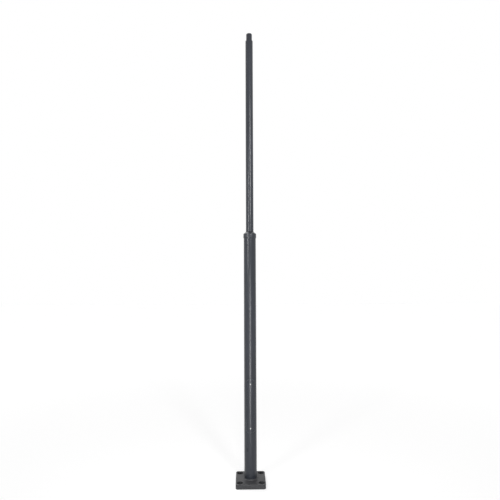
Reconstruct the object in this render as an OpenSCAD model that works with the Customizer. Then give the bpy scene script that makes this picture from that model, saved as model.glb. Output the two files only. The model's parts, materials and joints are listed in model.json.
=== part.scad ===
// Two-section lamp post on a square cast foot, with a post-top spigot.
// Millimetres, +Z up. The origin is the centre of the foot's underside,
// and the inspection door faces -Y.

/* [Post] */
// Height from the underside of the foot to the tip of the spigot
post_h = 4500; // [3600:50:5500]
// Height of the collar's lower edge above the underside of the foot
joint_h = 2372; // [1900:2:2850]

/* [Foot casting] */
// Side of the square foot
base_side = 285; // [235:1:345]
// Thickness of the foot
base_t = 44; // [36:1:60]
// Radius of the foot's upright corners
base_corner_r = 22; // [10:1:30]
// Radius of the round along the foot's top edge
base_edge_r = 4; // [2:0.5:6]
// Chamfer along the foot's bottom edge
base_bottom_c = 1.5; // [0.5:0.5:3]
// Distance from an anchor bolt's middle to the foot's two nearest sides
bolt_edge = 40; // [34:1:48]
// Diameter of the round pockets that take the anchor nuts
pocket_d = 57; // [40:1:60]
// Depth of the nut pockets
pocket_depth = 24; // [16:1:30]
// Chamfer around each pocket's mouth
pocket_lip_c = 1.5; // [0.5:0.5:3]
// Diameter of the anchor bolt holes
bolt_hole_d = 18; // [14:1:24]
// Diameter of the cable entry through the foot
cable_bore_d = 90; // [50:1:96]
// Depth of the socket that the lower tube stands in
socket_depth = 18; // [12:1:24]

/* [Lower tube] */
// Outside diameter of the lower tube
lower_d = 121; // [108:1:145]
// Wall of the lower tube
lower_wall = 4; // [3:0.5:6]
// Leg of the weld fillet around the tube's foot
weld_leg = 8; // [4:0.5:10]

/* [Inspection door] */
// Height of the door opening
door_h = 500; // [460:2:620]
// Width of the door opening, straight across
door_w = 75; // [62:1:90]
// Corner radius of the door opening
door_corner_r = 18; // [8:1:28]
// Height of the door's middle above the underside of the foot
door_mid_h = 735; // [600:5:900]
// Gap around the door cover
door_gap = 1.2; // [0.8:0.1:2]
// Distance from a door screw's middle to the nearest end of the opening
door_screw_inset = 42; // [28:1:60]
// Thread of the door screws
door_screw_d = 8; // [6:1:8]
// Width of the land that the cover's edge rests on
door_land = 8; // [6:0.5:10]
// Thickness of the backing frame behind the opening
frame_wall = 3; // [2:0.5:4]
// Height of each clamp bar behind the door
clamp_h = 30; // [24:1:40]
// Thickness of each clamp bar
clamp_t = 6; // [5:0.5:8]

/* [Inside the door] */
// Height of the equipment rail
rail_h = 320; // [240:5:400]
// Width of the equipment rail
rail_w = 40; // [30:1:50]
// Thickness of the equipment rail
rail_t = 4; // [3:0.5:5]
// Length of the earthing stud
stud_len = 28; // [20:1:32]

/* [Collar] */
// How far the collar's band stands out from the lower tube
collar_proud = 4.25; // [3:0.25:8]
// Length of the lower tube's end inside the collar
collar_skirt_h = 30; // [20:1:34]
// Height of the collar's band
collar_band_h = 41; // [36:1:50]
// How far the band's upper half tapers in
collar_draft = 1; // [0.5:0.25:2]
// Height of the cone above the band
collar_cone_h = 17; // [12:1:30]
// Height of the seal lip that stands above the cone
seal_lip_h = 5; // [3:0.5:8]
// Width of the seal around the upper tube
seal_w = 3.5; // [2:0.5:5]

/* [Upper tube] */
// Outside diameter of the upper tube
upper_d = 76; // [68:1:91]
// Wall of the upper tube
upper_wall = 3; // [2.5:0.5:4]
// Length of the upper tube that stands inside the lower tube
upper_insert = 320; // [240:10:450]
// Height of the two centring rings
centring_h = 20; // [14:1:30]

/* [Spigot] */
// Outside diameter of the spigot
spigot_d = 60; // [54:1:64]
// Wall of the spigot
spigot_wall = 3; // [2.5:0.5:4]
// Height of the spigot above the upper tube
spigot_h = 74; // [60:1:110]
// Length of the spigot that stands inside the upper tube
spigot_insert = 140; // [100:5:200]
// Height of the two rings between the spigot and the upper tube
spigot_ring_h = 10; // [6:1:20]
// Round on the spigot's upper rim
spigot_rim_r = 2; // [1:0.25:2.5]

/* [Hidden] */
$fn = 96;

// Clearances and small standard sizes
fit_gap = 0.25;         // radial gap of one round piece slipped inside another
over = 1;               // how far a cutter runs past the face it opens
edge_steps = 5;         // facets of a rounded edge
hex_depth = 2.5;        // depth of a socket-head screw's hexagon
nut_fn = 6;             // sides of a hexagon
corner_fn = 48;         // facets around the foot's upright corners

// Radii worked out from the diameters above
lower_r = lower_d / 2;
lower_bore_r = lower_r - lower_wall;
upper_r = upper_d / 2;
upper_bore_r = upper_r - upper_wall;
spigot_r = spigot_d / 2;
spigot_bore_r = spigot_r - spigot_wall;
collar_r = lower_r + collar_proud;

// Foot
bolt_spacing = base_side - 2 * bolt_edge;
weld_rise = weld_leg * 1.2;             // a fillet weld stands a little higher than it is wide
weld_hollow = weld_leg * 0.42;          // its face is slightly hollow

// Heights worked out from the sizes above
socket_z = base_t - socket_depth;
lower_top_z = joint_h + collar_skirt_h;
collar_top_z = joint_h + collar_band_h + collar_cone_h;
seal_seat_h = 6;                        // depth of the seal's seat below the collar's lip
upper_foot_z = joint_h - upper_insert;
shoulder_z = post_h - spigot_h;
spigot_foot_z = shoulder_z - spigot_insert;

// Door details
screw_r = door_screw_d / 2;
screw_hole_r = screw_r + 0.4;
screw_head_r = door_screw_d * 0.8;
screw_head_h = 4;
screw_head_round = 2;
screw_hex_r = screw_r * 0.72;
screw_end_c = 1;                        // chamfer at the end of the shank
door_screw_spacing = door_h - 2 * door_screw_inset;
screw_seat_depth = 0.8;                 // depth of the flat seat milled into the cover
screw_seat_r = screw_head_r + 1;
screw_seat_y = -(lower_r - screw_seat_depth);
frame_margin = 8;                       // width of the frame outside the opening
land_corner_r = max(door_corner_r - door_land, 2);
frame_bore_r = lower_bore_r - frame_wall;
clamp_half_w = door_w / 2;
clamp_front_y = -sqrt(pow(frame_bore_r, 2) - pow(clamp_half_w, 2));
clamp_back_y = clamp_front_y + clamp_t;
screw_tip = 2;                          // the screw's end stands this far out of the clamp bar

// Equipment rail and earthing stud
rail_back_y = sqrt(pow(lower_bore_r, 2) - pow(rail_w / 2, 2));
rail_slot_w = 6;
rail_slot_h = 20;
rail_slots = 5;
stud_r = 4;
stud_nut_r = 7.5;
stud_nut_h = 6;
stud_nut_out = 11;                      // the nut stands this far in from the stud's foot
stud_drop = 40;                         // the stud is this far below the rail
stud_z = door_mid_h - rail_h / 2 - stud_drop;

// Collar and rings
set_screw_r = 3;
set_screw_count = 3;
set_screw_sink = 0.4;                   // how far a set screw lies below the band's surface
set_screw_hex_r = set_screw_r * 0.55;
set_screw_z = joint_h + collar_skirt_h / 2;
collar_edge_c = 1;                      // chamfer on the collar's lower edge
ring_lip_w = 8;                         // inward step that the upper tube's foot stands on
ring_lip_h = 5;
spigot_weld_leg = 4;
spigot_turn = 0.5;                      // the spigot's lower end is turned down by this, up to its weld
spigot_foot_r = spigot_r - spigot_turn;
spigot_weld_hollow = spigot_weld_leg * 0.42;

// ---------- helpers ----------

// Points of a rounded convex edge, turning from +X to +Y around (x, z)
function edge_round(x, z, r) =
    [for (i = [0:edge_steps]) [x + r * cos(90 * i / edge_steps), z + r * sin(90 * i / edge_steps)]];

// A straight tube between two heights
module tube(outer, bore, z0, z1) {
    difference() {
        translate([0, 0, z0]) cylinder(r = outer, h = z1 - z0);
        translate([0, 0, z0 - over]) cylinder(r = bore, h = z1 - z0 + 2 * over);
    }
}

// A rectangle with rounded corners, centred
module rounded_rect(w, h, r) {
    square([w - 2 * r, h], center = true);
    square([w, h - 2 * r], center = true);
    for (x = [-1, 1], y = [-1, 1])
        translate([x * (w / 2 - r), y * (h / 2 - r)]) circle(r = r);
}

// The block that cuts or keeps a door-shaped piece out of the tube's front wall
module door_block(w, h, r) {
    translate([0, 0, door_mid_h])
        rotate([90, 0, 0])
            linear_extrude(lower_r + over)
                rounded_rect(w, h, r);
}

// ---------- foot ----------

// A round disc as thick as the foot, with the foot's two edges around it
module foot_corner() {
    rotate_extrude($fn = corner_fn)
        polygon(concat(
            [[0, 0], [base_corner_r - base_bottom_c, 0], [base_corner_r, base_bottom_c]],
            edge_round(base_corner_r - base_edge_r, base_t - base_edge_r, base_edge_r),
            [[0, base_t]]
        ));
}

module foot_slab() {
    corner = base_side / 2 - base_corner_r;
    hull()
        for (x = [-1, 1], y = [-1, 1])
            translate([x * corner, y * corner, 0]) foot_corner();
}

module bolt_pocket() {
    pocket_r = pocket_d / 2;
    translate([0, 0, -over]) cylinder(d = bolt_hole_d, h = base_t + 2 * over);
    translate([0, 0, base_t - pocket_depth]) cylinder(r = pocket_r, h = pocket_depth + over);
    translate([0, 0, base_t - pocket_lip_c])
        cylinder(r1 = pocket_r, r2 = pocket_r + pocket_lip_c + over, h = pocket_lip_c + over);
}

module base_casting() {
    color("dimgray")
        difference() {
            foot_slab();
            translate([0, 0, -over]) cylinder(d = cable_bore_d, h = base_t + 2 * over);
            translate([0, 0, socket_z]) cylinder(r = lower_r + fit_gap, h = socket_depth + over);
            for (x = [-1, 1], y = [-1, 1])
                translate([x * bolt_spacing / 2, y * bolt_spacing / 2, 0]) bolt_pocket();
        }
}

module foot_weld() {
    color("dimgray")
        rotate_extrude()
            polygon([
                [lower_r, base_t],
                [lower_r + weld_leg, base_t],
                [lower_r + weld_hollow, base_t + weld_hollow],
                [lower_r, base_t + weld_rise]
            ]);
}

// ---------- lower tube and its door ----------

module lower_tube() {
    color("dimgray")
        difference() {
            tube(lower_r, lower_bore_r, socket_z, lower_top_z);
            door_block(door_w, door_h, door_corner_r);
        }
}

module door_frame() {
    outer_w = door_w + 2 * frame_margin;
    outer_h = door_h + 2 * frame_margin;
    color("slategray")
        difference() {
            intersection() {
                tube(lower_bore_r, frame_bore_r, door_mid_h - outer_h / 2 - over,
                    door_mid_h + outer_h / 2 + over);
                door_block(outer_w, outer_h, door_corner_r + frame_margin);
            }
            door_block(door_w - 2 * door_land, door_h - 2 * door_land, land_corner_r);
        }
}

module door_cover() {
    color("dimgray")
        difference() {
            intersection() {
                tube(lower_r, lower_bore_r, door_mid_h - door_h / 2 - over,
                    door_mid_h + door_h / 2 + over);
                door_block(door_w - 2 * door_gap, door_h - 2 * door_gap, door_corner_r - door_gap);
            }
            for (side = [-1, 1])
                translate([0, 0, door_mid_h + side * door_screw_spacing / 2])
                    rotate([90, 0, 0]) {
                        cylinder(r = screw_hole_r, h = lower_r + over);
                        translate([0, 0, -screw_seat_y]) cylinder(r = screw_seat_r, h = lower_wall);
                    }
        }
}

// A flat bar that bridges the opening behind the frame; side is 1 above, -1 below
module door_clamp(side) {
    color("slategray")
        translate([0, 0, door_mid_h + side * door_screw_spacing / 2])
            difference() {
                translate([-clamp_half_w, clamp_front_y, -clamp_h / 2])
                    cube([2 * clamp_half_w, clamp_t, clamp_h]);
                rotate([90, 0, 0])
                    translate([0, 0, -clamp_back_y - over])
                        cylinder(r = screw_r + fit_gap / 2, h = clamp_t + 2 * over);
            }
}

// Low round-headed socket screw, its head on the flat seat of the cover
module door_screw(side) {
    shank = clamp_back_y + screw_tip - screw_seat_y;
    profile = concat(
        [
            [0, -shank],
            [screw_r - screw_end_c, -shank],
            [screw_r, screw_end_c - shank],
            [screw_r, 0],
            [screw_head_r, 0]
        ],
        edge_round(screw_head_r - screw_head_round, screw_head_h - screw_head_round, screw_head_round),
        [[0, screw_head_h]]
    );
    color("silver")
        translate([0, screw_seat_y, door_mid_h + side * door_screw_spacing / 2])
            rotate([90, 0, 0])
                difference() {
                    rotate_extrude() polygon(profile);
                    translate([0, 0, screw_head_h - hex_depth])
                        cylinder(r = screw_hex_r, h = hex_depth + over, $fn = nut_fn);
                }
}

module equipment_rail() {
    pitch = rail_h / rail_slots;
    color("silver")
        difference() {
            translate([-rail_w / 2, rail_back_y - rail_t, door_mid_h - rail_h / 2])
                cube([rail_w, rail_t, rail_h]);
            for (i = [0:rail_slots - 1])
                translate([0, rail_back_y + over, door_mid_h - rail_h / 2 + pitch * (i + 0.5)])
                    rotate([90, 0, 0])
                        linear_extrude(rail_t + 2 * over)
                            square([rail_slot_w, rail_slot_h], center = true);
        }
}

// A stud on the back wall of the tube, with its nut
module earth_stud() {
    stud_foot_y = sqrt(pow(lower_bore_r, 2) - pow(stud_r, 2));
    nut_y = stud_foot_y - stud_nut_out;
    color("goldenrod")
        translate([0, 0, stud_z])
            rotate([90, 0, 0]) {
                translate([0, 0, -stud_foot_y]) cylinder(r = stud_r, h = stud_len);
                translate([0, 0, -nut_y]) cylinder(r = stud_nut_r, h = stud_nut_h, $fn = nut_fn);
            }
}

// ---------- joint between the tubes ----------

// The upper tube's foot stands on the step of the lower ring
module centring_ring_lower() {
    ring_z = upper_foot_z - ring_lip_h;
    color("slategray")
        rotate_extrude()
            polygon([
                [upper_r - ring_lip_w, ring_z],
                [lower_bore_r - fit_gap, ring_z],
                [lower_bore_r - fit_gap, ring_z + centring_h],
                [upper_r + fit_gap, ring_z + centring_h],
                [upper_r + fit_gap, upper_foot_z],
                [upper_r - ring_lip_w, upper_foot_z]
            ]);
}

module centring_ring_upper() {
    color("slategray")
        tube(lower_bore_r - fit_gap, upper_r + fit_gap, lower_top_z - centring_h, lower_top_z);
}

// Turned collar: its skirt slips over the lower tube, its bore around the upper tube
module collar() {
    skirt_r = lower_r + fit_gap;
    bore_r = upper_r + fit_gap;
    lip_r = upper_r + seal_w;
    color("dimgray")
        difference() {
            rotate_extrude()
                polygon([
                    [skirt_r, joint_h],
                    [collar_r - collar_edge_c, joint_h],
                    [collar_r, joint_h + collar_edge_c],
                    [collar_r, joint_h + collar_band_h / 2],
                    [collar_r - collar_draft, joint_h + collar_band_h],
                    [lip_r + fit_gap, collar_top_z],
                    [lip_r, collar_top_z],
                    [lip_r, collar_top_z - seal_seat_h],
                    [bore_r, collar_top_z - seal_seat_h],
                    [bore_r, lower_top_z],
                    [skirt_r, lower_top_z]
                ]);
            for (i = [0:set_screw_count - 1])
                set_screw_place(i)
                    translate([0, 0, skirt_r - over])
                        cylinder(r = set_screw_r + fit_gap / 2, h = collar_r - skirt_r + 2 * over);
        }
}

// Turns a piece that stands along +Z so that it points out of the band, starting at the back
module set_screw_place(i) {
    rotate([0, 0, i * 360 / set_screw_count])
        translate([0, 0, set_screw_z])
            rotate([-90, 0, 0])
                children();
}

module collar_set_screw(i) {
    length = collar_r - set_screw_sink - lower_r;
    color("silver")
        set_screw_place(i)
            translate([0, 0, lower_r])
                difference() {
                    cylinder(r = set_screw_r, h = length);
                    translate([0, 0, length - hex_depth])
                        cylinder(r = set_screw_hex_r, h = hex_depth + over, $fn = nut_fn);
                }
}

// Black rubber ring in the collar's lip, tapering up against the upper tube
module collar_seal() {
    seat_z = collar_top_z - seal_seat_h;
    color("black")
        rotate_extrude()
            polygon([
                [upper_r, seat_z],
                [upper_r + seal_w, seat_z],
                [upper_r + seal_w, collar_top_z],
                [upper_r + seal_w * 0.4, collar_top_z + seal_lip_h],
                [upper_r, collar_top_z + seal_lip_h]
            ]);
}

// ---------- upper tube and spigot ----------

module upper_tube() {
    color("dimgray") tube(upper_r, upper_bore_r, upper_foot_z, shoulder_z);
}

// A ring that fills the gap between spigot and upper tube, its top at z
module spigot_ring(z) {
    color("dimgray") tube(upper_bore_r - fit_gap, spigot_foot_r + fit_gap, z - spigot_ring_h, z);
}

// Its full diameter starts above the weld, so that a luminaire's socket seats on a clean length
module spigot() {
    seat_z = shoulder_z + spigot_weld_leg;
    color("dimgray")
        rotate_extrude()
            polygon(concat(
                [
                    [spigot_bore_r, spigot_foot_z],
                    [spigot_foot_r, spigot_foot_z],
                    [spigot_foot_r, seat_z],
                    [spigot_r, seat_z]
                ],
                edge_round(spigot_r - spigot_rim_r, post_h - spigot_rim_r, spigot_rim_r),
                [[spigot_bore_r, post_h]]
            ));
}

module spigot_weld() {
    color("dimgray")
        rotate_extrude()
            polygon([
                [spigot_foot_r, shoulder_z],
                [spigot_foot_r + spigot_weld_leg, shoulder_z],
                [spigot_foot_r + spigot_weld_hollow, shoulder_z + spigot_weld_hollow],
                [spigot_foot_r, shoulder_z + spigot_weld_leg]
            ]);
}

// ---------- the assembly ----------

base_casting();
foot_weld();
lower_tube();
door_frame();
door_cover();
door_clamp(1);  // door_clamp_upper
door_clamp(-1);  // door_clamp_lower
door_screw(1);  // door_screw_upper
door_screw(-1);  // door_screw_lower
equipment_rail();
earth_stud();
centring_ring_lower();
centring_ring_upper();
collar();
collar_seal();
collar_set_screw(0);  // collar_set_screw_1
collar_set_screw(1);  // collar_set_screw_2
collar_set_screw(2);  // collar_set_screw_3
upper_tube();
spigot_ring(spigot_foot_z + spigot_ring_h);  // spigot_ring_lower
spigot_ring(shoulder_z);  // spigot_ring_upper
spigot();
spigot_weld();
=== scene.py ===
import json
import math

import bmesh
import bpy
from mathutils import Euler, Matrix, Vector


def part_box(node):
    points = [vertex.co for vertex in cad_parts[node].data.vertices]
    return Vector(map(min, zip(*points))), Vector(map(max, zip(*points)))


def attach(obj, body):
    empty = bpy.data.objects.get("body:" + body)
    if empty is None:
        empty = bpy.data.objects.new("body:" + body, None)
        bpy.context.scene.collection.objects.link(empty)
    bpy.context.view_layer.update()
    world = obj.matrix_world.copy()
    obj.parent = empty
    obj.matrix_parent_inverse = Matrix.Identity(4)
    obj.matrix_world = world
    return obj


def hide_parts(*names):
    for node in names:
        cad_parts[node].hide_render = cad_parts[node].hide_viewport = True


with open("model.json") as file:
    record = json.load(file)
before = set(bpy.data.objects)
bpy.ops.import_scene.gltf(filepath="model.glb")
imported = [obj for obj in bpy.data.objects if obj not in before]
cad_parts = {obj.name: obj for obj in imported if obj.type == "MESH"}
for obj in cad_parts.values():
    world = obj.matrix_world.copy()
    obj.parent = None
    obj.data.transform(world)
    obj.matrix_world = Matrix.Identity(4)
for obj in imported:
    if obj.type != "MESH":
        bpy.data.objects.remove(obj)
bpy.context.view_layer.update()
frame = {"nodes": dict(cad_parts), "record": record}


def mm(size):
    return size * 0.001


# ---------------------------------------------------------------- camera

PICTURE_SIDE = 500          # the picture is square
FOCAL = 421.2               # focal length, in the same unit as the picture's side
SENSOR_WIDTH = 36.0
VIEW_DISTANCE = 4.2195      # from the post's axis to the lens
VIEW_HEIGHT = 1.953         # a little above eye level
VIEW_TILT = 0.07053         # radians upwards
VIEW_YAW = 0.01457          # the lens stands slightly left of the door's middle
VIEW_ROLL = -0.00364
VIEW_SHIFT = 0.0004


def make_camera():
    data = bpy.data.cameras.new("camera")
    data.sensor_width = SENSOR_WIDTH
    data.lens = FOCAL / PICTURE_SIDE * SENSOR_WIDTH
    data.shift_x = VIEW_SHIFT
    camera = bpy.data.objects.new("camera", data)
    bpy.context.scene.collection.objects.link(camera)
    aim = Euler((math.pi / 2 + VIEW_TILT, 0, -VIEW_YAW)).to_matrix()
    camera.matrix_world = (aim @ Matrix.Rotation(VIEW_ROLL, 3, "Z")).to_4x4()
    camera.location = (
        -VIEW_DISTANCE * math.sin(VIEW_YAW),
        -VIEW_DISTANCE * math.cos(VIEW_YAW),
        VIEW_HEIGHT,
    )
    bpy.context.scene.camera = camera


make_camera()

# ---------------------------------------------------------------- mesh helpers

ROUND_SEGMENTS = 192        # facets around the post
EDGE_STEPS = 4              # facets across a rounded edge
ROUND_SHARE = 0.45          # the most of a side that a rounded corner may take
CRISP_ANGLE = 35            # degrees; a sharper fold stays a crisp edge
SHEET_RINGS = mm(60)        # height of the faces on a long tube
FIT_GAP = mm(0.25)          # radial gap between pieces that slip into each other
OVER = mm(1)                # how far a cutter runs past the face it opens
NO_SIZE = mm(0.001)         # edges shorter than this are closed up after a cut


def smooth(piece):
    """Shades curves smoothly, keeps folds crisp and flat faces flat."""
    piece.data.shade_smooth()
    piece.data.set_sharp_from_angle(angle=math.radians(CRISP_ANGLE))
    piece.modifiers.new("even_normals", "WEIGHTED_NORMAL").keep_sharp = True


def finish_mesh(name, bm):
    bmesh.ops.recalc_face_normals(bm, faces=bm.faces)
    mesh = bpy.data.meshes.new(name)
    bm.to_mesh(mesh)
    bm.free()
    piece = bpy.data.objects.new(name, mesh)
    bpy.context.scene.collection.objects.link(piece)
    smooth(piece)
    return piece


def skin(bm, loops, closed=False):
    """Quads between neighbouring rings of equally many points."""
    pairs = list(zip(loops, loops[1:]))
    if closed:
        pairs.append((loops[-1], loops[0]))
    for a, b in pairs:
        for i in range(len(a)):
            j = (i + 1) % len(a)
            bm.faces.new((a[i], a[j], b[j], b[i]))


def spread(start, end, count):
    """count equal steps from start to end, both ends included."""
    return [start + (end - start) * i / count for i in range(count + 1)]


def arc(cx, cz, radius, start, end, steps=EDGE_STEPS):
    """Points on an arc around (cx, cz), between two angles in degrees."""
    turns = spread(math.radians(start), math.radians(end), steps)
    return [(cx + radius * math.cos(a), cz + radius * math.sin(a)) for a in turns]


def circle(radius, z, segments, x=0.0, y=0.0, start=0.0):
    """Points of a level circle around (x, y); start turns it by that many facets."""
    turns = [2 * math.pi * (i + start) / segments for i in range(segments)]
    return [(x + radius * math.sin(a), y - radius * math.cos(a), z) for a in turns]


def rounded(corners):
    """A closed outline in (r, z); each corner (r, z, size) is rounded off by about its size."""
    points = []
    for i, (r, z, size) in enumerate(corners):
        here = Vector((r, z))
        before = Vector(corners[i - 1][:2]) - here
        after = Vector(corners[(i + 1) % len(corners)][:2]) - here
        if size <= 0:
            points.append((r, z))
            continue
        reach = size / math.tan(before.angle(after) / 2)
        reach = min(reach, before.length * ROUND_SHARE, after.length * ROUND_SHARE)
        start = here + before.normalized() * reach
        end = here + after.normalized() * reach
        for t in spread(0, 1, EDGE_STEPS):
            p = start * (1 - t) ** 2 + here * 2 * t * (1 - t) + end * t ** 2
            points.append((p.x, p.y))
    return points


def with_rings(profile, spacing):
    """Splits the long straight runs of a closed outline, so that no face is a long sliver."""
    points = []
    for (r0, z0), (r1, z1) in zip(profile, profile[1:] + profile[:1]):
        count = max(1, int(math.hypot(r1 - r0, z1 - z0) / spacing))
        points += list(zip(spread(r0, r1, count), spread(z0, z1, count)))[:-1]
    return points


def turned(name, profile):
    """A closed (r, z) outline turned about the post's axis."""
    bm = bmesh.new()
    loops = [[bm.verts.new(p) for p in circle(r, z, ROUND_SEGMENTS)] for r, z in profile]
    skin(bm, loops, closed=True)
    return finish_mesh(name, bm)


def round_cutter(profile, x=0.0, y=0.0, segments=96):
    """A solid for cutting a round hole, half a facet round so that no two corners meet."""
    bm = bmesh.new()
    loops = [[bm.verts.new(p) for p in circle(r, z, segments, x, y, 0.5)] for r, z in profile]
    skin(bm, loops)
    bm.faces.new(loops[0])
    bm.faces.new(loops[-1])
    return finish_mesh("cutter", bm)


def cut(piece, cutters):
    """Cuts the cutters out of the piece for good, and throws them away."""
    bpy.context.view_layer.update()
    piece.modifiers.clear()
    for cutter in cutters:
        hole = piece.modifiers.new("hole", "BOOLEAN")
        hole.operation = "DIFFERENCE"
        hole.solver = "EXACT"
        hole.object = cutter
    depsgraph = bpy.context.evaluated_depsgraph_get()
    bm = bmesh.new()
    bm.from_object(piece, depsgraph)
    bmesh.ops.dissolve_degenerate(bm, edges=bm.edges, dist=NO_SIZE)
    result = bpy.data.meshes.new(piece.name)
    bm.to_mesh(result)
    bm.free()
    piece.modifiers.clear()
    piece.data = result
    for cutter in cutters:
        bpy.data.objects.remove(cutter)
    smooth(piece)
    return piece


def place(piece, material, node):
    """Gives a piece its finish, and lets it stand for a node of the frame."""
    piece.data.materials.clear()
    piece.data.materials.append(material)
    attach(piece, "root")
    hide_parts(node)


# ---------------------------------------------------------------- material helpers


def srgb(code):
    """An sRGB hex colour as linear RGBA."""
    channels = [int(code[i:i + 2], 16) / 255 for i in (1, 3, 5)]
    linear = [c / 12.92 if c <= 0.04045 else ((c + 0.055) / 1.055) ** 2.4 for c in channels]
    return (*linear, 1.0)


def add(tree, kind, links=None, **settings):
    """Adds a node; settings are its properties or socket values, links feed its sockets."""
    made = tree.nodes.new(kind)
    for key, value in settings.items():
        if hasattr(made, key):
            setattr(made, key, value)
        else:
            made.inputs[key.replace("_", " ")].default_value = value
    for key, source in (links or {}).items():
        tree.links.new(source, made.inputs[key])
    return made


def new_material(name, **settings):
    """A Principled material with uniform settings; gives its tree, shader and place in metres."""
    material = bpy.data.materials.new(name)
    material.use_nodes = True
    tree = material.node_tree
    tree.nodes.clear()
    shader = add(tree, "ShaderNodeBsdfPrincipled", **settings)
    add(tree, "ShaderNodeOutputMaterial", links={"Surface": shader.outputs["BSDF"]})
    where = add(tree, "ShaderNodeTexCoord").outputs["Object"]
    return material, tree, shader, where


NOISE_LOW, NOISE_HIGH = 0.3, 0.7                     # nearly all of a noise lies between these


def noise(tree, where, size_mm, detail=2.0, roughness=0.5):
    """Cloudy noise whose patches are about size_mm across."""
    return add(tree, "ShaderNodeTexNoise", links={"Vector": where},
               Scale=1 / mm(size_mm), Detail=detail, Roughness=roughness).outputs["Fac"]


def between(tree, amount, low, high):
    """Maps the useful part of a noise onto low to high."""
    return add(tree, "ShaderNodeMapRange", links={"Value": amount}, From_Min=NOISE_LOW,
               From_Max=NOISE_HIGH, To_Min=low, To_Max=high).outputs["Result"]


def tint(tree, amount, dark, light):
    """A colour that runs from dark to light with a noise."""
    ramp = add(tree, "ShaderNodeValToRGB", links={"Fac": amount})
    ends = zip(ramp.color_ramp.elements, (NOISE_LOW, NOISE_HIGH), (dark, light))
    for stop, position, code in ends:
        stop.position = position
        stop.color = srgb(code)
    return ramp.outputs["Color"]


def bumped(tree, height, depth_mm, under=None):
    """A bump as deep as depth_mm, laid over another one if there is one."""
    bump = add(tree, "ShaderNodeBump", links={"Height": height}, Strength=1.0, Distance=mm(depth_mm))
    if under:
        tree.links.new(under, bump.inputs["Normal"])
    return bump.outputs["Normal"]


# ---------------------------------------------------------------- materials


def tube_coat():
    """Semi-gloss anthracite powder coat on steel tube: a cool dark grey with a soft upright
    highlight, a film that is slightly thicker in long clouds, and faint orange peel."""
    material, tree, shader, where = new_material(
        "anthracite_powder_coat_on_tube", Specular_IOR_Level=0.36)
    drawn_out = add(tree, "ShaderNodeMapping", links={"Vector": where})
    drawn_out.inputs["Scale"].default_value = (1, 1, 0.3)
    cloud = noise(tree, drawn_out.outputs["Vector"], size_mm=80, detail=3.0)
    peel = noise(tree, where, size_mm=6)             # drawn a little coarse, so that it still shows
    tree.links.new(tint(tree, cloud, "#24272d", "#2c2f36"), shader.inputs["Base Color"])
    tree.links.new(between(tree, cloud, low=0.27, high=0.33), shader.inputs["Roughness"])
    tree.links.new(bumped(tree, peel, depth_mm=0.07), shader.inputs["Normal"])
    return material


def casting_coat():
    """Powder coat over a sand casting: flatter and more neutral than on the tubes, with the
    grainy skin of the casting under it."""
    material, tree, shader, where = new_material(
        "anthracite_powder_coat_on_casting", Specular_IOR_Level=0.2)
    cloud = noise(tree, where, size_mm=55, detail=3.0, roughness=0.6)
    skin_lumps = noise(tree, where, size_mm=9, detail=3.0, roughness=0.6)
    grain = noise(tree, where, size_mm=2.2)
    tree.links.new(tint(tree, cloud, "#373739", "#3f3f41"), shader.inputs["Base Color"])
    tree.links.new(between(tree, grain, low=0.38, high=0.50), shader.inputs["Roughness"])
    lumps = bumped(tree, skin_lumps, depth_mm=0.25)
    tree.links.new(bumped(tree, grain, depth_mm=0.12, under=lumps), shader.inputs["Normal"])
    return material


LATHE_RING_SCALE = 1 / mm(24)                        # wave scale, not the distance of the rings


def collar_coat():
    """Powder coat on a turned ring: a shade lighter than the tubes, with faint rings left by
    the lathe under the film, about 7.5 mm apart."""
    material, tree, shader, where = new_material(
        "anthracite_powder_coat_on_turned_ring", Specular_IOR_Level=0.36)
    cloud = noise(tree, where, size_mm=35, detail=3.0)
    rings = add(tree, "ShaderNodeTexWave", links={"Vector": where}, wave_type="BANDS",
                bands_direction="Z", Scale=LATHE_RING_SCALE, Distortion=1.5, Detail=2.0).outputs["Fac"]
    peel = noise(tree, where, size_mm=5)
    tree.links.new(tint(tree, cloud, "#26292e", "#2e3137"), shader.inputs["Base Color"])
    tree.links.new(between(tree, cloud, low=0.27, high=0.33), shader.inputs["Roughness"])
    turning = bumped(tree, rings, depth_mm=0.015)
    tree.links.new(bumped(tree, peel, depth_mm=0.06, under=turning), shader.inputs["Normal"])
    return material


def weather_seal():
    """Extruded EPDM rubber: matt black with a faint grey bloom and a fine grain."""
    material, tree, shader, where = new_material("black_epdm_rubber", Specular_IOR_Level=0.2)
    bloom = noise(tree, where, size_mm=14, detail=4.0)
    grain = noise(tree, where, size_mm=0.9)
    tree.links.new(tint(tree, bloom, "#0c0c0d", "#1d1e20"), shader.inputs["Base Color"])
    tree.links.new(between(tree, bloom, low=0.66, high=0.80), shader.inputs["Roughness"])
    tree.links.new(bumped(tree, grain, depth_mm=0.05), shader.inputs["Normal"])
    return material


DULL_SWING = 0.07           # how far bare metal's roughness goes up and down


def bare_metal(name, dark, light, dull, grain_mm):
    """Uncoated metal: its colour and shine vary with the tool marks or the plating's grain."""
    material, tree, shader, where = new_material(name, Metallic=1.0)
    marks = noise(tree, where, grain_mm, detail=5.0, roughness=0.6)
    tree.links.new(tint(tree, marks, dark, light), shader.inputs["Base Color"])
    tree.links.new(between(tree, marks, dull - DULL_SWING, dull + DULL_SWING),
                   shader.inputs["Roughness"])
    tree.links.new(bumped(tree, marks, depth_mm=0.02), shader.inputs["Normal"])
    return material


TUBE_COAT = tube_coat()
CASTING_COAT = casting_coat()
COLLAR_COAT = collar_coat()
RUBBER = weather_seal()
# Satin grey screw heads that glint in the strip lights.
STAINLESS = bare_metal("turned_stainless_steel", "#9c9c9a", "#b6b6b4", dull=0.48, grain_mm=1.5)
# Nearly black set screws, which sink into the collar's colour.
GRUB_STEEL = bare_metal("blackened_screw_steel", "#26272a", "#3a3b3e", dull=0.45, grain_mm=1.5)
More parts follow.
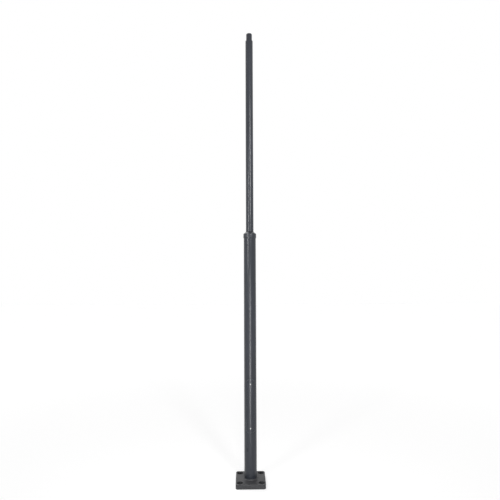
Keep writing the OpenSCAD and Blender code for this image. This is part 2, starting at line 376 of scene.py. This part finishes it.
# Pale, slightly mottled fittings inside the post.
ZINC = bare_metal("zinc_plated_steel", "#9a9ea3", "#c3c6c8", dull=0.42, grain_mm=6)
# The earthing stud's warm yellow.
BRASS = bare_metal("turned_brass", "#a98a4c", "#c9a865", dull=0.35, grain_mm=2)

# ---------------------------------------------------------------- foot

FOOT_CORNER = mm(22)        # round of the upright corners
FOOT_TOP_EDGE = mm(4)
FOOT_BOTTOM_EDGE = mm(1.5)
FOOT_CORNER_STEPS = 24
POCKET_R = mm(28.5)
POCKET_DEPTH = mm(24)
POCKET_LIP = mm(1.8)        # round of the pocket's mouth
POCKET_FLOOR = mm(2.5)      # round between its wall and its floor


def mount(name):
    return next(m for m in frame["record"]["mounts"] if m["name"] == name)


def foot_outline(half, corner):
    """Points of a square with round corners, seen from above."""
    points = []
    for quarter in range(4):
        c, s = math.cos(math.pi / 2 * quarter), math.sin(math.pi / 2 * quarter)
        for x, y in arc(half - corner, half - corner, corner, 0, 90, FOOT_CORNER_STEPS):
            points.append((x * c - y * s, x * s + y * c))
    return points


def foot_slab():
    """The foot without its holes: stacked outlines that draw in at the top and bottom edge."""
    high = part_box("base_casting")[1]
    bottom = [(FOOT_BOTTOM_EDGE - out, FOOT_BOTTOM_EDGE + up)
              for out, up in arc(0, 0, FOOT_BOTTOM_EDGE, -90, 0)]
    top = [(FOOT_TOP_EDGE - out, high.z - FOOT_TOP_EDGE + up)
           for out, up in arc(0, 0, FOOT_TOP_EDGE, 0, 90, 2 * EDGE_STEPS)]
    bm = bmesh.new()
    loops = [[bm.verts.new((x, y, z)) for x, y in foot_outline(high.x - inset, FOOT_CORNER - inset)]
             for inset, z in bottom + top]
    skin(bm, loops)
    bm.faces.new(loops[0])
    bm.faces.new(loops[-1])
    return finish_mesh("cast_foot", bm)


def pocket_cutter(x, y, top, hole_r):
    """A nut pocket with its bolt hole, mouth and floor rounded."""
    floor = top - POCKET_DEPTH
    mouth = arc(POCKET_R + POCKET_LIP, top - POCKET_LIP, POCKET_LIP, 180, 90)
    fillet = arc(POCKET_R - POCKET_FLOOR, floor + POCKET_FLOOR, POCKET_FLOOR, -90, 0)
    profile = [(hole_r, -OVER), (hole_r, floor)] + fillet + mouth
    return round_cutter(profile + [(POCKET_R + POCKET_LIP, top + OVER)], x, y)


def make_foot():
    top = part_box("base_casting")[1].z
    tube_low, tube_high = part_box("lower_tube")
    bolts = mount("anchor_bolts")["dims"]
    dx, dy = mm(bolts["spacing_x_mm"]) / 2, mm(bolts["spacing_y_mm"]) / 2
    cutters = [pocket_cutter(sx * dx, sy * dy, top, mm(bolts["hole_r_mm"]))
               for sx in (-1, 1) for sy in (-1, 1)]
    cable_r = mm(mount("cable_entry")["dims"]["r_mm"])
    socket_r = tube_high.x + FIT_GAP
    cutters.append(round_cutter(
        [(cable_r, -OVER), (cable_r, tube_low.z), (socket_r, tube_low.z), (socket_r, top + OVER)],
        segments=ROUND_SEGMENTS))
    place(cut(foot_slab(), cutters), CASTING_COAT, "base_casting")


# ---------------------------------------------------------------- welds

SPIGOT_TURN = mm(0.5)       # the spigot's lower end is turned down by this, up to its weld
WELD_STEPS = 8              # facets across a weld
RIPPLE_STEPS = 6            # facets along one ripple
WELD_HOLLOW = 0.26          # 0 is a very hollow weld, 0.5 a flat one
WELD_SWEEP = 1.4            # how far a ripple is swept back in its middle
RIPPLE_SHARE = 0.6          # part of the swell that comes and goes with each ripple
WANDER_SHARE = 0.4          # part that comes and goes slowly around the post
WANDERS = ((5, 0.5, 1.0), (11, 0.3, 0.0))            # turns, size and start of each slow wave


def make_weld(name, node, inner, pitch, swell, material):
    """A hollow fillet weld around a tube of radius inner, laid in even ripples."""
    low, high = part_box(node)
    leg, rise = high.x - inner, high.z - low.z
    beats = int(2 * math.pi * inner / pitch)
    turns = [2 * math.pi * i / (beats * RIPPLE_STEPS) for i in range(beats * RIPPLE_STEPS)]
    bm = bmesh.new()
    loops = []
    for t in spread(0, 1, WELD_STEPS):
        belly = 2 * t * (1 - t) * WELD_HOLLOW
        ring = []
        for a in turns:
            ripple = math.cos(beats * a - WELD_SWEEP * math.sin(math.pi * t))
            wander = sum(size * math.sin(turns_in * a + start) for turns_in, size, start in WANDERS)
            out = math.sin(math.pi * t) * swell * (1 + RIPPLE_SHARE * ripple + WANDER_SHARE * wander)
            r = inner + min(leg, leg * ((1 - t) ** 2 + belly) + out)
            z = low.z + min(rise, rise * (t ** 2 + belly) + out)
            ring.append(bm.verts.new((r * math.sin(a), -r * math.cos(a), z)))
        loops.append(ring)
    loops.append([bm.verts.new((inner * math.sin(a), -inner * math.cos(a), low.z)) for a in turns])
    skin(bm, loops, closed=True)
    place(finish_mesh(name, bm), material, node)


def make_foot_weld():
    make_weld("foot_fillet_weld", "foot_weld", inner=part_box("lower_tube")[1].x, pitch=mm(5),
              swell=mm(0.3), material=CASTING_COAT)


def make_spigot_weld():
    turned_r = mm(mount("spigot")["dims"]["r_mm"]) - SPIGOT_TURN
    make_weld("spigot_fillet_weld", "spigot_weld", inner=turned_r, pitch=mm(4),
              swell=mm(0.15), material=TUBE_COAT)


# ---------------------------------------------------------------- lower tube and door

DOOR_CORNER = mm(18)
DOOR_GAP = mm(1.2)
FRAME_MARGIN = mm(8)        # the frame reaches this far past the opening
RIM_ROUND = mm(0.5)         # round on the sawn edges of opening and cover
TUBE_END_ROUND = mm(0.8)
APRON = mm(14)              # band around the opening where the faces ease into its round corners
APRON_EASE = (0.66, 0.36, 0.14)
DOOR_COLUMNS = 56
BACK_COLUMNS = 120
CORNER_ROWS = 10
MIDDLE_ROWS = 36
SEAT_DEPTH = mm(0.8)        # flat seats milled into the cover for the screw heads
SEAT_MARGIN = mm(1)
SCREW_HOLE_R = mm(4.4)
COVER_EASE_FROM = 0.8       # the cover's faces bend to its round corners from here outwards


def on_tube(radius, angle, z):
    """A point on the tube; angle 0 is at the front."""
    return (radius * math.sin(angle), -radius * math.cos(angle), z)


def door_rows(middle, half):
    """Heights across the door: close together at the round corners, wider in between."""
    corner = DOOR_CORNER + APRON
    return (spread(middle - half, middle - half + corner, CORNER_ROWS)[:-1]
            + spread(middle - half + corner, middle + half - corner, MIDDLE_ROWS)[:-1]
            + spread(middle + half - corner, middle + half, CORNER_ROWS))


def onto_outline(x, z, half_w, half_h, corner):
    """Moves a point of a plain rectangle onto the rectangle with round corners inside it."""
    cx = max(-(half_w - corner), min(half_w - corner, x))
    cz = max(-(half_h - corner), min(half_h - corner, z))
    length = math.hypot(x - cx, z - cz)
    return (cx + (x - cx) / length * corner, cz + (z - cz) / length * corner)


def rim_keys(rows, columns, first_row=0):
    """Grid places around a rectangle of cells, in order."""
    last_row = first_row + rows
    return ([(first_row, j) for j in range(columns)]
            + [(i, columns) for i in range(first_row, last_row)]
            + [(last_row, j) for j in range(columns, 0, -1)]
            + [(i, 0) for i in range(last_row, first_row, -1)])


def make_lower_tube():
    low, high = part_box("lower_tube")
    frame_low, frame_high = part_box("door_frame")
    outer_r, bore_r = high.x, -frame_low.y           # the frame lies against the bore
    half_w = frame_high.x - FRAME_MARGIN
    half_h = (frame_high.z - frame_low.z) / 2 - FRAME_MARGIN
    middle = (frame_high.z + frame_low.z) / 2
    apron_w = math.asin((half_w + APRON) / outer_r)
    apron_h = half_h + APRON
    angles = spread(-apron_w, apron_w, DOOR_COLUMNS)
    angles += spread(apron_w, 2 * math.pi - apron_w, BACK_COLUMNS)[1:-1]
    bottom, top = low.z + TUBE_END_ROUND, high.z - TUBE_END_ROUND
    below = spread(bottom, middle - apron_h, int((middle - apron_h - bottom) / SHEET_RINGS) + 1)
    above = spread(middle + apron_h, top, int((top - middle - apron_h) / SHEET_RINGS))
    across = door_rows(middle, apron_h)
    heights = below[:-1] + across + above[1:]
    first, last = len(below) - 1, len(below) + len(across) - 2
    keys = rim_keys(last - first, DOOR_COLUMNS, first)
    bm = bmesh.new()

    def sheet(radius):
        """The tube's surface at one radius, open where the door's apron will be."""
        grid = {}
        for i, z in enumerate(heights):
            for j, a in enumerate(angles):
                if not (first < i < last and 0 < j < DOOR_COLUMNS):
                    grid[i, j] = bm.verts.new(on_tube(radius, a, z))
        for i in range(len(heights) - 1):
            for j in range(len(angles)):
                k = (j + 1) % len(angles)
                if not (first <= i < last and j < DOOR_COLUMNS):
                    bm.faces.new((grid[i, j], grid[i, k], grid[i + 1, k], grid[i + 1, j]))
        return grid

    def rim_loop(radius, grow, ease=0.0):
        """A loop around the opening, widened by grow and eased towards the apron's border."""
        w, h = half_w + grow, half_h + grow
        loop = []
        for i, j in keys:
            across_by, up_by = angles[j] / apron_w, (heights[i] - middle) / apron_h
            x, z = onto_outline(across_by * w, up_by * h, w, h, DOOR_CORNER + grow)
            a = math.asin(x / radius)
            a += (angles[j] - a) * ease
            z += (heights[i] - middle - z) * ease
            loop.append(bm.verts.new(on_tube(radius, a, middle + z)))
        return loop

    outer, inner = sheet(outer_r), sheet(bore_r)
    loops = [[outer[key] for key in keys]]
    loops += [rim_loop(outer_r, RIM_ROUND, ease) for ease in APRON_EASE]
    loops += [rim_loop(outer_r - RIM_ROUND + up, RIM_ROUND - out)
              for up, out in arc(0, 0, RIM_ROUND, 0, 90)]
    loops += [rim_loop(bore_r + RIM_ROUND - up, RIM_ROUND - out)
              for out, up in arc(0, 0, RIM_ROUND, 0, 90)]
    loops += [rim_loop(bore_r, RIM_ROUND, ease) for ease in reversed(APRON_EASE)]
    loops.append([inner[key] for key in keys])
    skin(bm, loops)
    for row, way in ((0, -1), (len(heights) - 1, 1)):
        lip = (arc(outer_r - TUBE_END_ROUND, 0, TUBE_END_ROUND, 0, 90)[1:]
               + arc(bore_r + TUBE_END_ROUND, 0, TUBE_END_ROUND, 90, 180)[:-1])
        ends = [[bm.verts.new(on_tube(r, a, heights[row] + way * up)) for a in angles]
                for r, up in lip]
        border = [[grid[row, j] for j in range(len(angles))] for grid in (outer, inner)]
        skin(bm, [border[0]] + ends + [border[1]])
    place(finish_mesh("lower_post_tube", bm), TUBE_COAT, "lower_tube")


def seat_cutter(node, outer_r):
    """The screw's hole and the flat seat for its head."""
    low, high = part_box(node)
    seat = outer_r - SEAT_DEPTH
    seat_r = high.x + SEAT_MARGIN
    cutter = round_cutter(
        [(SCREW_HOLE_R, 0), (SCREW_HOLE_R, seat), (seat_r, seat), (seat_r, outer_r + OVER)])
    cutter.rotation_euler = (math.pi / 2, 0, 0)
    cutter.location = (0, 0, (low.z + high.z) / 2)
    return cutter


def make_door_cover():
    low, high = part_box("door_cover")
    outer_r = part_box("lower_tube")[1].x
    bore_r = -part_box("door_frame")[0].y
    half_w, half_h = high.x, (high.z - low.z) / 2
    middle = (high.z + low.z) / 2
    corner = DOOR_CORNER - DOOR_GAP
    us = spread(-1, 1, DOOR_COLUMNS)
    vs = [(z - middle) / half_h for z in door_rows(middle, half_h)]
    keys = rim_keys(len(vs) - 1, DOOR_COLUMNS)
    bm = bmesh.new()

    def at(radius, u, v, grow):
        w, h = half_w + grow, half_h + grow
        x, z = u * w, v * h
        outwards = max(abs(u), abs(v))
        if outwards > COVER_EASE_FROM:
            ox, oz = onto_outline(x / outwards, z / outwards, w, h, corner + grow)
            ease = (outwards - COVER_EASE_FROM) / (1 - COVER_EASE_FROM)
            x += (ox * outwards - x) * ease
            z += (oz * outwards - z) * ease
        return bm.verts.new(on_tube(radius, math.asin(x / radius), middle + z))

    def face(radius):
        grid = [[at(radius, u, v, -RIM_ROUND) for u in us] for v in vs]
        for lower, upper in zip(grid, grid[1:]):
            for j in range(DOOR_COLUMNS):
                bm.faces.new((lower[j], lower[j + 1], upper[j + 1], upper[j]))
        return [grid[i][j] for i, j in keys]

    loops = [face(outer_r)]
    loops += [[at(outer_r - RIM_ROUND + up, us[j], vs[i], out - RIM_ROUND) for i, j in keys]
              for up, out in arc(0, 0, RIM_ROUND, 0, 90)[1:]]
    loops += [[at(bore_r + RIM_ROUND - up, us[j], vs[i], out - RIM_ROUND) for i, j in keys]
              for out, up in arc(0, 0, RIM_ROUND, 0, 90)[:-1]]
    loops.append(face(bore_r))
    skin(bm, loops)
    cover = finish_mesh("inspection_door", bm)
    cutters = [seat_cutter(node, outer_r) for node in ("door_screw_upper", "door_screw_lower")]
    place(cut(cover, cutters), TUBE_COAT, "door_cover")


# ---------------------------------------------------------------- joint between the tubes

BAND_HEIGHT = mm(41)        # the collar's band, whose upper half draws in slightly
BAND_DRAFT = mm(1)
BAND_FOOT_ROUND = mm(1.2)
BAND_MIDDLE_ROUND = mm(6)
BAND_TOP_ROUND = mm(2)
CONE_RIM = mm(0.6)          # flat rim between the cone and the seal
CONE_RIM_ROUND = mm(0.5)
COLLAR_RINGS = mm(12)       # height of the faces on the collar
BURR = mm(0.2)              # the smallest round, where a burr was taken off
TURNED_EDGE = mm(0.4)       # round on a turned edge that isn't handled
SEAL_EDGE = mm(0.3)
SEAL_TIP = mm(1.4)          # width of the seal's tip against the tube
SEAL_TIP_ROUND = mm(0.6)
SET_SCREWS = ("collar_set_screw_1", "collar_set_screw_2", "collar_set_screw_3")
SET_SCREW_HOLE_R = mm(3.1)
SET_SCREW_MOUTH = mm(0.4)   # countersink of a set screw's hole


def set_screw_cutter(node, inner_r, outer_r):
    low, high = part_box(node)
    middle = (low + high) / 2
    mouth_r = SET_SCREW_HOLE_R + SET_SCREW_MOUTH
    cutter = round_cutter(
        [(SET_SCREW_HOLE_R, inner_r - OVER), (SET_SCREW_HOLE_R, outer_r - SET_SCREW_MOUTH),
         (mouth_r, outer_r), (mouth_r, outer_r + OVER)], segments=48)
    cutter.rotation_euler = Vector((middle.x, middle.y, 0)).to_track_quat("Z", "Y").to_euler()
    cutter.location = (0, 0, middle.z)
    return cutter


def make_collar():
    low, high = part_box("collar")
    seal_low, seal_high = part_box("collar_seal")
    tube_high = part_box("lower_tube")[1]
    bore_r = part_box("upper_tube")[1].x + FIT_GAP
    skirt_r = tube_high.x + FIT_GAP
    lip_r = seal_high.x
    profile = rounded([
        (skirt_r, low.z, TURNED_EDGE),
        (high.x, low.z, BAND_FOOT_ROUND),
        (high.x, low.z + BAND_HEIGHT / 2, BAND_MIDDLE_ROUND),
        (high.x - BAND_DRAFT, low.z + BAND_HEIGHT, BAND_TOP_ROUND),
        (lip_r + CONE_RIM, high.z, CONE_RIM_ROUND),
        (lip_r, high.z, BURR),
        (lip_r, seal_low.z, 0),
        (bore_r, seal_low.z, 0),
        (bore_r, tube_high.z, 0),
        (skirt_r, tube_high.z, 0),
    ])
    collar = turned("turned_collar", with_rings(profile, COLLAR_RINGS))
    cutters = [set_screw_cutter(node, skirt_r, high.x) for node in SET_SCREWS]
    place(cut(collar, cutters), COLLAR_COAT, "collar")


def make_seal():
    low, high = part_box("collar_seal")
    tube_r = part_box("upper_tube")[1].x
    lip_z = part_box("collar")[1].z
    profile = rounded([
        (tube_r, low.z, SEAL_EDGE),
        (high.x, low.z, SEAL_EDGE),
        (high.x, lip_z, TURNED_EDGE),
        (tube_r + SEAL_TIP, high.z, SEAL_TIP_ROUND),
        (tube_r, high.z, BURR),
    ])
    place(turned("collar_weather_seal", profile), RUBBER, "collar_seal")


# ---------------------------------------------------------------- upper tube and spigot

UPPER_WALL = mm(3)
UPPER_FOOT_ROUND = mm(0.5)
UPPER_RIM_ROUND = mm(1.2)
SPIGOT_RIM_ROUND = mm(2)
SPIGOT_BORE_ROUND = mm(0.6)
SPIGOT_RINGS = mm(20)       # height of the faces on the spigot


def make_upper_tube():
    low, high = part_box("upper_tube")
    profile = rounded([
        (high.x, low.z, UPPER_FOOT_ROUND),
        (high.x, high.z, UPPER_RIM_ROUND),
        (high.x - UPPER_WALL, high.z, TURNED_EDGE),
        (high.x - UPPER_WALL, low.z, TURNED_EDGE),
    ])
    tube = turned("upper_post_tube", with_rings(profile, SHEET_RINGS))
    place(tube, TUBE_COAT, "upper_tube")


def make_spigot():
    low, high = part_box("spigot")
    pin = mount("spigot")
    bore_r = mm(mount("cable_outlet")["dims"]["r_mm"])
    full_r = mm(pin["dims"]["r_mm"])
    seat_z = pin["pos_m"][2] - mm(pin["dims"]["length_mm"]) / 2
    profile = rounded([
        (bore_r, low.z, TURNED_EDGE),
        (full_r - SPIGOT_TURN, low.z, TURNED_EDGE),
        (full_r - SPIGOT_TURN, seat_z, 0),
        (full_r, seat_z, BURR),
        (full_r, high.z, SPIGOT_RIM_ROUND),
        (bore_r, high.z, SPIGOT_BORE_ROUND),
    ])
    spigot = turned("post_top_spigot", with_rings(profile, SPIGOT_RINGS))
    place(spigot, TUBE_COAT, "spigot")


# ---------------------------------------------------------------- fittings that keep their CAD shape

FITTINGS = {
    "door_screw_upper": STAINLESS,
    "door_screw_lower": STAINLESS,
    "collar_set_screw_1": GRUB_STEEL,
    "collar_set_screw_2": GRUB_STEEL,
    "collar_set_screw_3": GRUB_STEEL,
    "door_frame": ZINC,
    "door_clamp_upper": ZINC,
    "door_clamp_lower": ZINC,
    "equipment_rail": ZINC,
    "centring_ring_lower": ZINC,
    "centring_ring_upper": ZINC,
    "spigot_ring_lower": TUBE_COAT,
    "spigot_ring_upper": TUBE_COAT,
    "earth_stud": BRASS,
}


def finish_fittings():
    for name, material in FITTINGS.items():
        fitting = frame["nodes"][name]
        fitting.data.materials.clear()
        fitting.data.materials.append(material)


# ---------------------------------------------------------------- studio

FLOOR_SIZE = 60.0
FLOOR_BOUNCE = 0.8          # what the paper throws back at the object
FLOOR_SHADE = 0.4           # how much of the light and shadow on it is seen
GLOW_AT_POST = 0.645        # the paper's own white, less where more lamp light falls on it,
GLOW_FAR_OFF = 0.775        # so that the open floor comes out even
GLOW_REACH = 5.5
FILL_LEFT, FILL_RIGHT = 0.3, 0.06
OVERHEAD_POWER = 1.4
OVERHEAD_SPREAD = 50        # degrees of the ceiling it fills
OVERHEAD_TOWARDS = (0.35, -0.45, -1.0)
STRIP_DISTANCE = 2.0        # from the post's axis to each strip light


def seen_as_background(tree):
    """1 for rays that show the background itself: straight, mirrored or through glass."""
    path = add(tree, "ShaderNodeLightPath").outputs
    straight = add(tree, "ShaderNodeMath", operation="MAXIMUM",
                   links={0: path["Is Camera Ray"], 1: path["Is Glossy Ray"]})
    return add(tree, "ShaderNodeMath", operation="MAXIMUM",
               links={0: straight.outputs[0], 1: path["Is Transmission Ray"]}).outputs[0]


def studio_paper():
    """Matt white paper: it shows white, and keeps the soft shadow that falls on it."""
    material = bpy.data.materials.new("white_studio_paper")
    material.use_nodes = True
    tree = material.node_tree
    tree.nodes.clear()
    seen = seen_as_background(tree)
    where = add(tree, "ShaderNodeTexCoord").outputs["Object"]
    away = add(tree, "ShaderNodeVectorMath", operation="LENGTH", links={0: where}).outputs["Value"]
    glow = add(tree, "ShaderNodeMapRange", links={"Value": away}, From_Min=0.0, From_Max=GLOW_REACH,
               To_Min=GLOW_AT_POST, To_Max=GLOW_FAR_OFF)
    shown = add(tree, "ShaderNodeMath", operation="MULTIPLY",
                links={0: seen, 1: glow.outputs["Result"]})
    shade = add(tree, "ShaderNodeMapRange", links={"Value": seen},
                To_Min=FLOOR_BOUNCE, To_Max=FLOOR_SHADE)
    light = add(tree, "ShaderNodeEmission", links={"Strength": shown.outputs[0]})
    paper = add(tree, "ShaderNodeBsdfDiffuse", links={"Color": shade.outputs["Result"]})
    both = add(tree, "ShaderNodeAddShader", links={0: paper.outputs[0], 1: light.outputs[0]})
    add(tree, "ShaderNodeOutputMaterial", links={"Surface": both.outputs[0]})
    return material


def make_floor():
    bm = bmesh.new()
    bmesh.ops.create_grid(bm, x_segments=1, y_segments=1, size=FLOOR_SIZE / 2)
    mesh = bpy.data.meshes.new("studio_floor")
    bm.to_mesh(mesh)
    bm.free()
    mesh.materials.append(studio_paper())
    floor = bpy.data.objects.new("studio_floor", mesh)
    bpy.context.scene.collection.objects.link(floor)


def make_world():
    """White all round; the fill light it gives is stronger from the left."""
    world = bpy.data.worlds.new("white_studio")
    bpy.context.scene.world = world
    world.use_nodes = True
    tree = world.node_tree
    tree.nodes.clear()
    direction = add(tree, "ShaderNodeTexCoord").outputs["Generated"]
    sideways = add(tree, "ShaderNodeSeparateXYZ", links={"Vector": direction}).outputs["X"]
    strength = add(tree, "ShaderNodeMapRange", links={"Value": sideways}, From_Min=-1.0,
                   From_Max=1.0, To_Min=FILL_LEFT, To_Max=FILL_RIGHT)
    fill = add(tree, "ShaderNodeBackground", links={"Strength": strength.outputs["Result"]},
               Color=(1, 1, 1, 1))
    white = add(tree, "ShaderNodeBackground", Color=(1, 1, 1, 1), Strength=1.0)
    both = add(tree, "ShaderNodeMixShader",
               links={0: seen_as_background(tree), 1: fill.outputs[0], 2: white.outputs[0]})
    add(tree, "ShaderNodeOutputWorld", links={"Surface": both.outputs[0]})


def strip_light(name, width, height, power, azimuth, z, lean=0.0):
    """An upright strip of soft light that faces the post; azimuth 0 is in front, + to the right."""
    data = bpy.data.lights.new(name, "AREA")
    data.shape = "RECTANGLE"
    data.size, data.size_y = width, height
    data.energy = power
    lamp = bpy.data.objects.new(name, data)
    bpy.context.scene.collection.objects.link(lamp)
    turn = math.radians(azimuth)
    lamp.location = (STRIP_DISTANCE * math.sin(turn), -STRIP_DISTANCE * math.cos(turn), z)
    facing = Euler((math.pi / 2, 0, turn)).to_matrix()
    lamp.rotation_euler = (facing @ Matrix.Rotation(math.radians(lean), 3, "Z")).to_euler()
    lamp.visible_camera = False


def overhead_light():
    """A large soft source far above, which gives the floor an even level and a soft shadow."""
    data = bpy.data.lights.new("overhead_softbox", "SUN")
    data.energy = OVERHEAD_POWER
    data.angle = math.radians(OVERHEAD_SPREAD)
    lamp = bpy.data.objects.new("overhead_softbox", data)
    bpy.context.scene.collection.objects.link(lamp)
    lamp.rotation_euler = Vector(OVERHEAD_TOWARDS).to_track_quat("-Z", "Y").to_euler()


def make_studio():
    make_world()
    make_floor()
    overhead_light()
    strip_light("front_strip", 0.32, 2.1, power=40, azimuth=0, z=0.9, lean=-7)
    strip_light("high_right_strip", 0.28, 1.75, power=44, azimuth=21, z=3.72)
    strip_light("left_strip", 0.28, 1.4, power=22, azimuth=-36, z=2.85)
    bpy.context.scene.view_settings.view_transform = "Standard"


# ---------------------------------------------------------------- the whole

make_foot()
make_foot_weld()
make_lower_tube()
make_door_cover()
make_collar()
make_seal()
make_upper_tube()
make_spigot()
make_spigot_weld()
finish_fittings()
make_studio()
